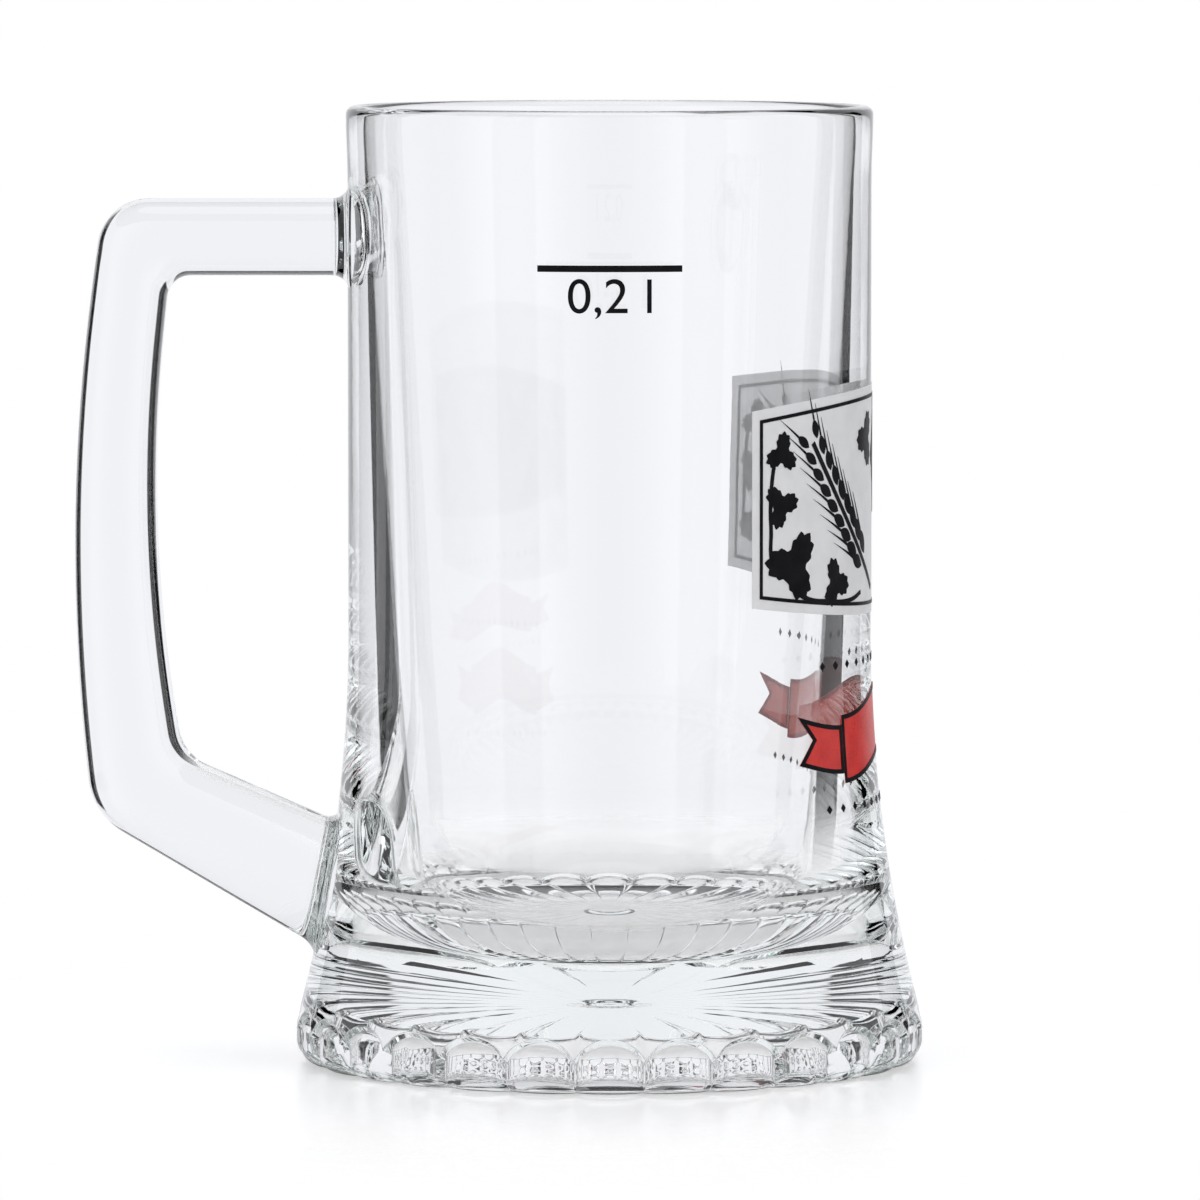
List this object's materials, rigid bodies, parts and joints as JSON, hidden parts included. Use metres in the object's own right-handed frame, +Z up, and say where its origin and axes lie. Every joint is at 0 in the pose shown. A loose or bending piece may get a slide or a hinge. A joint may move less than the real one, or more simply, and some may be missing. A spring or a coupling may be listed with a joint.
{
  "type": "glass beer mug",
  "caption": "Clear pressed glass beer mug with a straight wall, a flared beaded foot, a star-pressed base, a bowed handle and a fired enamel print.",
  "frame": {"origin": "on the surface the mug stands on, under the middle of its outline box, handle included", "axes": "+Z up along the bowl's axis, -X towards the handle, -Y towards the measure line, +X towards the picture"},
  "size_m": [0.106, 0.0784, 0.1194],
  "materials": {
    "clear_glass": "polished",
    "black_enamel": "satin",
    "pale_enamel": "satin",
    "red_enamel": "satin"
  },
  "bodies": {
    "root": {"mug_body": "clear_glass", "handle": "clear_glass", "measure_line": "black_enamel", "print_panel": "pale_enamel", "print_ribbon": "red_enamel", "barley_ear_left": "black_enamel", "barley_ear_right": "black_enamel", "hop_cone": "black_enamel"}
  },
  "joints": []
}
